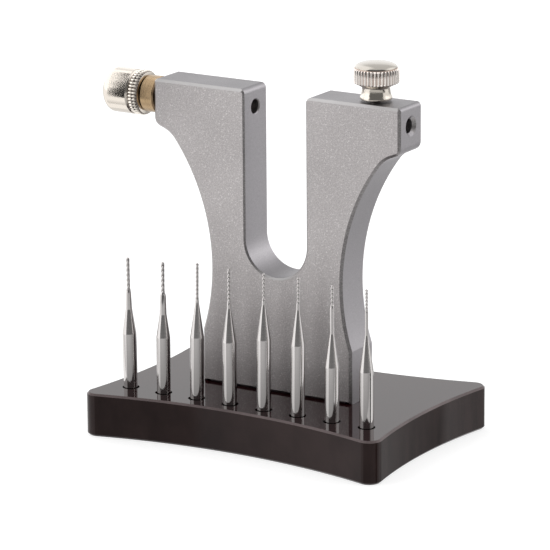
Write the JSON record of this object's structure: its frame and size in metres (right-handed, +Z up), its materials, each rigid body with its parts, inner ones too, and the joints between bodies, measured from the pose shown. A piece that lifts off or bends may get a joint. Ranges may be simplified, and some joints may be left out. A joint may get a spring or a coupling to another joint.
{
  "type": "bench drilling jig",
  "caption": "U-shaped aluminium jig on a dark block: one arm guides a knurled hand spindle, the other clamps a tool shank on the same axis, and shank drills stand in a row in front.",
  "frame": {"origin": "middle of the block's underside", "axes": "+Z up, -Y towards the drill row in front, +X towards the arm with the clamp screw"},
  "size_m": [0.0857, 0.0522, 0.0879],
  "materials": {
    "base": "polished",
    "frame": "fine blasted, anodised",
    "screws": "black oxide",
    "brass": "turned",
    "tool_steel": "ground",
    "knobs": "nickel plated, knurled",
    "drills": "ground"
  },
  "bodies": {
    "stand": {"base": "base", "frame": "frame", "frame_screws": "screws"},
    "sleeve": {"brass_sleeve": "brass"},
    "hand_spindle": {"spindle": "tool_steel", "spindle_knob": "knobs"},
    "stud": {"clamp_stud": "tool_steel"},
    "clamp_head": {"clamp_knob": "knobs"},
    "drill_1_body": {"drill_1": "drills"},
    "drill_2_body": {"drill_2": "drills"},
    "drill_3_body": {"drill_3": "drills"},
    "drill_4_body": {"drill_4": "drills"},
    "drill_5_body": {"drill_5": "drills"},
    "drill_6_body": {"drill_6": "drills"},
    "drill_7_body": {"drill_7": "drills"},
    "drill_8_body": {"drill_8": "drills"}
  },
  "joints": [
    {"name": "spindle_slide", "type": "slide", "parent": "stand", "child": "sleeve", "axis": [-1, 0, 0], "range_m": [-0.0008, 0.018]},
    {"name": "spindle_turn", "type": "hinge", "parent": "sleeve", "child": "hand_spindle", "pos_m": [-0.038, 0.0007, 0.0743], "axis": [1, 0, 0], "continuous": true},
    {"name": "clamp_travel", "type": "slide", "parent": "stand", "child": "stud", "axis": [0, 0, 1], "range_m": [-0.0004, 0.0025]},
    {"name": "clamp_turn", "type": "hinge", "parent": "stud", "child": "clamp_head", "pos_m": [0.0232, 0.0007, 0.0795], "axis": [0, 0, 1], "range_deg": [-290, 1806]},
    {"name": "drill_1_lift", "type": "slide", "parent": "stand", "child": "drill_1_body", "axis": [0, 0, 1], "range_m": [0, 0.008]},
    {"name": "drill_2_lift", "type": "slide", "parent": "stand", "child": "drill_2_body", "axis": [0, 0, 1], "range_m": [0, 0.008]},
    {"name": "drill_3_lift", "type": "slide", "parent": "stand", "child": "drill_3_body", "axis": [0, 0, 1], "range_m": [0, 0.008]},
    {"name": "drill_4_lift", "type": "slide", "parent": "stand", "child": "drill_4_body", "axis": [0, 0, 1], "range_m": [0, 0.008]},
    {"name": "drill_5_lift", "type": "slide", "parent": "stand", "child": "drill_5_body", "axis": [0, 0, 1], "range_m": [0, 0.008]},
    {"name": "drill_6_lift", "type": "slide", "parent": "stand", "child": "drill_6_body", "axis": [0, 0, 1], "range_m": [0, 0.008]},
    {"name": "drill_7_lift", "type": "slide", "parent": "stand", "child": "drill_7_body", "axis": [0, 0, 1], "range_m": [0, 0.008]},
    {"name": "drill_8_lift", "type": "slide", "parent": "stand", "child": "drill_8_body", "axis": [0, 0, 1], "range_m": [0, 0.008]}
  ],
  "couplings": [
    {"joint": "clamp_turn", "follows": "clamp_travel", "rad_per_m": 12566}
  ]
}
